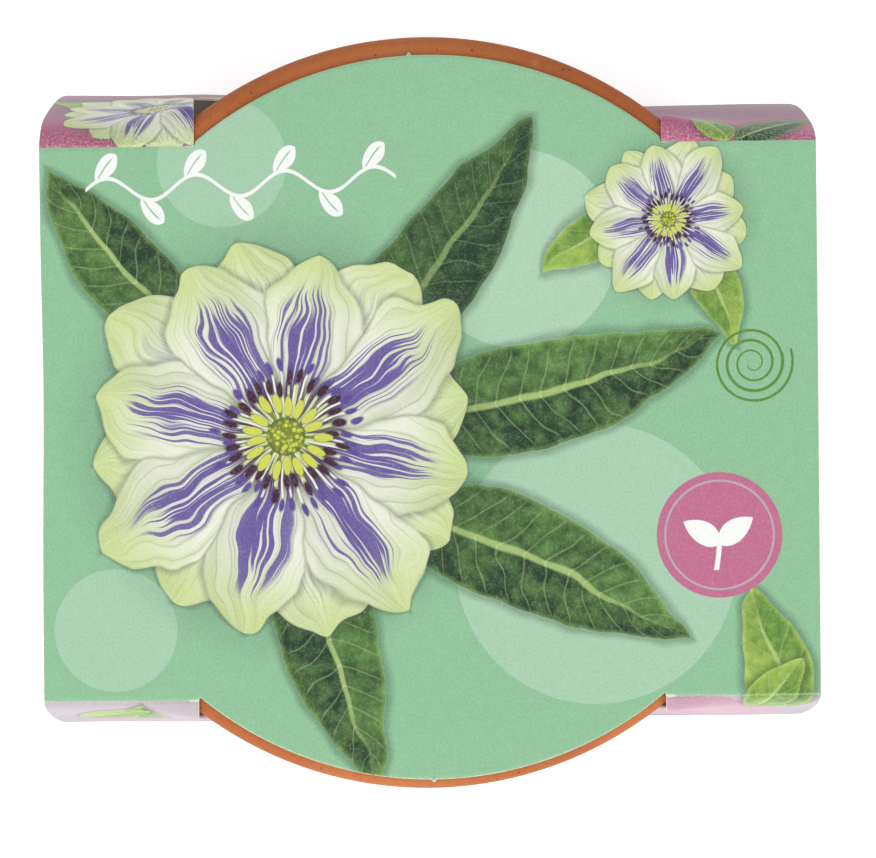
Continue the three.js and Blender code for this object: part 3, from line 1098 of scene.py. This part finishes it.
def rounded(outline, steps, spacing):
    """An outline with rounded corners, and points no further apart than spacing."""
    points = []
    for i, (radius, height, rounding) in enumerate(outline):
        corner = np.array([radius, height])
        ends = []
        for other in (outline[i - 1], outline[(i + 1) % len(outline)]):
            along = np.array(other[:2]) - corner
            ends.append(corner + along / np.linalg.norm(along) * rounding)
        if points:
            start = points[-1]
            count = int(np.linalg.norm(ends[0] - start) / spacing) + 2
            points += [between((start, ends[0]), t) for t in np.linspace(0, 1, count)[1:-1]]
        points += [bent(ends[0], corner, ends[1], t) for t in np.linspace(0, 1, steps if rounding else 1)]
    return np.array(points)


def turned(outline, sides):
    """Points and faces of an outline turned about the axis. It is a loop, or starts and ends on the axis."""
    on_axis = outline[0, 0] == 0
    rings = outline[1:-1] if on_axis else outline
    count = len(rings)
    points = []
    for angle in np.linspace(0, TAU, sides, endpoint=False):
        points += [(radius * math.cos(angle), radius * math.sin(angle), height) for radius, height in rings]
    faces = []
    for here in range(0, sides * count, count):
        after = (here + count) % (sides * count)
        for i in range(count - 1):
            faces.append((here + i, after + i, after + i + 1, here + i + 1))
        if on_axis:
            faces.append((len(points), after, here))
            faces.append((here + count - 1, after + count - 1, len(points) + 1))
        else:
            faces.append((here + count - 1, after + count - 1, after, here))
    if on_axis:
        points += [(0, 0, outline[0, 1]), (0, 0, outline[-1, 1])]
    return points, faces


def draw_terracotta(graph):
    """Fired clay: warm, mottled and matt, with fine grit, pits, turning marks and a little pale bloom."""
    where = graph.place()
    _, _, z = graph.split(where)
    cloud = graph.noise(where, 0.035, 2.0, 0.55)
    grit = graph.noise(where, 1.1, 2.0, 0.7)
    fine = graph.noise(where, 4.2, 0.0)
    salt = graph.noise(where, 0.13, 3.0, 0.65)
    speck = graph.cells(where, 0.45).step(0.12, 0.06)
    colour = graph.paint(ink(177, 100, 56), ink(195, 119, 71), cloud.step(0.35, 0.66))
    colour = graph.paint(colour, ink(150, 72, 40), grit.step(0.5, 0.75) * 0.28)
    colour = graph.paint(colour, ink(226, 152, 106), fine.step(0.6, 0.78) * 0.16)
    colour = graph.paint(colour, ink(222, 172, 136), salt.step(0.58, 0.78) * 0.16)
    colour = graph.paint(colour, ink(96, 48, 32), speck * 0.5)
    marks = graph.noise(graph.vector(0.0, 0.0, z * 2.2), 1.0, 2.0, 0.7)
    height = grit * 0.5 + fine * 0.25 + marks * 0.5 - speck * 0.8
    return colour, (grit - 0.5) * 0.15 + 0.8, graph.bump(height, 0.14), 0.15


def build_pot():
    """The pot, a little uneven. It only draws in, so that it stays inside the CAD solid's box."""
    points, faces = turned(rounded(POT_OUTLINE, steps=7, spacing=2.2), sides=224)
    moved = []
    for point in points:
        out = Vector((point[0], point[1], 0)).normalized()
        swell = noise.noise(Vector(point) * 0.03) * 0.12 + noise.noise(Vector(point) * 0.16) * 0.03
        moved.append(np.array(point) + np.array(out) * min(0, swell - 0.01))
    points = np.array(moved) + [POT_AXIS_X, 0, BOARD]
    made = add_mesh("terracotta_pot", points, faces, [finish("terracotta", draw_terracotta)])
    place(made, "terracotta", "pot")


# ---------- coir disc and seed sachet


def draw_coir(graph):
    """Pressed coir: a mat of brown fibres."""
    where = graph.place()
    strand = graph.noise(where, 0.8, 5.0, 0.75)
    colour = graph.paint(ink(84, 54, 34), ink(150, 108, 70), strand.step(0.35, 0.7))
    pit = graph.noise(where, 2.4, 2.0, 0.6).step(0.55, 0.75)
    colour = graph.paint(colour, ink(46, 30, 20), pit * 0.7)
    return colour, 0.95, graph.bump(strand, 0.6), 0.15


def build_disc():
    """A pressed disc of coir, rough all over."""
    radius, top = DISC_RADIUS - 0.3, DISC_HEIGHT - 0.4
    outline = ((0, 0, 0), (radius, 0, 1.6), (radius, top, 1.6), (0, top, 0))
    points, faces = turned(rounded(outline, steps=5, spacing=1.1), sides=120)
    rough = []
    for x, y, z in points:
        lump = noise.noise(Vector((x, y, z)) * 0.5) * 0.3 + noise.noise(Vector((x, y, z)) * 1.7) * 0.16
        inward = 1 - abs(lump) / DISC_RADIUS
        rough.append([x * inward, y * inward, np.clip(z + lump * 0.6, 0, DISC_HEIGHT - 0.1)])
    points = np.array(rough) + [POT_AXIS_X, 0, DISC_FOOT]
    made = add_mesh("coir_tablet", points, faces, [finish("coir", draw_coir)])
    place(made, "coir", "coir_disc")


def draw_sachet_paper(graph):
    """Plain paper with two printed leaves and a mint band, and no words."""
    where = graph.on_print()
    _, y, _ = graph.split(where)
    wander = graph.noise(where, 0.13, 1.0)
    grain = graph.noise(where, 2.0, 3.0, 0.7)
    colour = graph.paint(ink(232, 227, 212), MINT, y.step(8.0, 8.2))
    leaves = (((-8, -15), 58, 20, 4.6, 1, 0.12), ((-7, -14), 22, 19, 4.0, 0, -0.12))
    colour = draw_leaves(graph, colour, where, leaves, grain, wander)
    colour = graph.paint(colour, ink(186, 176, 150), grain.step(0.5, 0.9) * 0.5)
    return colour, 0.7, graph.bump(grain, 0.05), 0.3


def build_sachet():
    """A paper sachet: sealed and finely ribbed all round, swollen by seeds in the middle."""
    wide, high = 81, 101
    across, along = np.linspace(-0.5, 0.5, wide), np.linspace(-0.5, 0.5, high)
    x, y = np.meshgrid(across * SACHET_WIDTH, along * SACHET_DEPTH)
    to_seal_x = np.minimum(1, np.abs(x) / (SACHET_WIDTH / 2 - SACHET_SEAL))
    to_seal_y = np.minimum(1, np.abs(y) / (SACHET_DEPTH / 2 - SACHET_SEAL))
    swell = (1 - to_seal_x**2.4) * (1 - to_seal_y**2.4)
    rib = np.where(swell == 0, 0.07 * np.sin(np.abs(y) * 5.2), 0)
    seeds = [noise.noise(Vector((*spot, 3)) * 0.34) for spot in zip(x.flat, y.flat)]
    top = points_at(x, y, 0.42 + 2.5 * swell + rib + 0.35 * np.reshape(seeds, x.shape) * swell)
    bottom = points_at(x, y, 0.12 + rib * 0.5 + 0.1 * swell)
    points = np.concatenate([top.reshape(-1, 3), bottom.reshape(-1, 3)])
    prints = points * [1, 1, 0]
    number = np.arange(high * wide).reshape(high, wide)
    count = number.size
    faces = []
    for a, b, c, d in zip(*(part.ravel() for part in corners(number))):
        faces += [(a, b, c, d), (a + count, d + count, c + count, b + count)]
    loop = [*number[0], *number[1:, -1], *number[-1, -2::-1], *number[-2:0:-1, 0]]
    for a, b in zip(loop, loop[1:] + loop[:1]):
        faces.append((a, a + count, b + count, b))
    cosine, sine = math.cos(SACHET_TURN), math.sin(SACHET_TURN)
    points[:, :2] = points[:, :2] @ np.array([[cosine, sine], [-sine, cosine]])
    points += [POT_AXIS_X, 0, DISC_FOOT + DISC_HEIGHT]
    paper = finish("sachet_paper", draw_sachet_paper)
    made = add_mesh("paper_seed_sachet", points, faces, [paper], print_mm=prints)
    place(made, "sachet_paper", "seed_sachet")


# ---------- stage, lights and camera

FLOOR_HALF = 3000
FLOOR_GLOW = 0.22  # the paper is lit from below too, so that the shadow on it stays faint
DOME = 1.4
DOME_BEHIND = 0.25
CAMERA_HEIGHT = 460.0  # above the top panel
CAMERA_AT = (1.15, -2.43)
CAMERA_ROLL = -0.54  # degrees
FOCAL_PIXELS = 3160.0
PICTURE_WIDTH = 876


def draw_floor(graph):
    """White studio paper."""
    soft = graph.noise(graph.place(), 0.02, 1.0)
    return graph.paint(rgb(252, 252, 252), rgb(249, 249, 249), soft), 0.9, graph.bump(soft, 0.01), 0.2


def build_stage():
    paper = finish("floor_paper", draw_floor)
    shader = paper.node_tree.nodes["Principled BSDF"]
    shader.inputs["Emission Color"].default_value = (1, 1, 1, 1)
    shader.inputs["Emission Strength"].default_value = FLOOR_GLOW
    around = [(x * FLOOR_HALF, y * FLOOR_HALF, 0) for x, y in ((-1, -1), (1, -1), (1, 1), (-1, 1))]
    add_mesh("floor", around, [(0, 1, 2, 3)], [paper])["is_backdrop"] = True


def build_lights():
    lamp = bpy.data.lights.new("key", "AREA")
    lamp.shape = "DISK"
    lamp.size = 1100 * MM
    lamp.energy = 10.0
    at, aim = Vector((-250, -1100, 800)), Vector((0, 0, 50))
    holder = add_object("key", lamp)
    holder.location = at * MM
    holder.rotation_euler = (aim - at).to_track_quat("-Z", "Y").to_euler()
    world = bpy.data.worlds.new("studio")
    world.use_nodes = True
    graph = Graph(world.node_tree)
    _, y, _ = graph.split(graph.node("ShaderNodeTexCoord").outputs["Generated"])
    background = world.node_tree.nodes["Background"]
    background.inputs["Color"].default_value = (1, 1, 1, 1)
    graph.feed(background.inputs["Strength"], graph.blend(DOME, DOME_BEHIND, y.step(0.3, 1.0)))
    bpy.context.scene.world = world


def build_camera():
    camera = bpy.data.cameras.new("camera")
    camera.sensor_fit = "HORIZONTAL"
    camera.sensor_width = 36
    camera.lens = FOCAL_PIXELS / PICTURE_WIDTH * camera.sensor_width
    holder = add_object("camera", camera)
    holder.location = (CAMERA_AT[0] * MM, CAMERA_AT[1] * MM, (SLEEVE_TOP + CAMERA_HEIGHT) * MM)
    holder.rotation_euler = (0, 0, math.radians(CAMERA_ROLL))
    bpy.context.scene.camera = holder


build_camera()
build_stage()
build_lights()
build_pot()
build_disc()
build_sachet()
build_sleeve()
bpy.context.scene.view_settings.view_transform = "Standard"

sizes = {"cad": cad_bounds, "visual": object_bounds()}
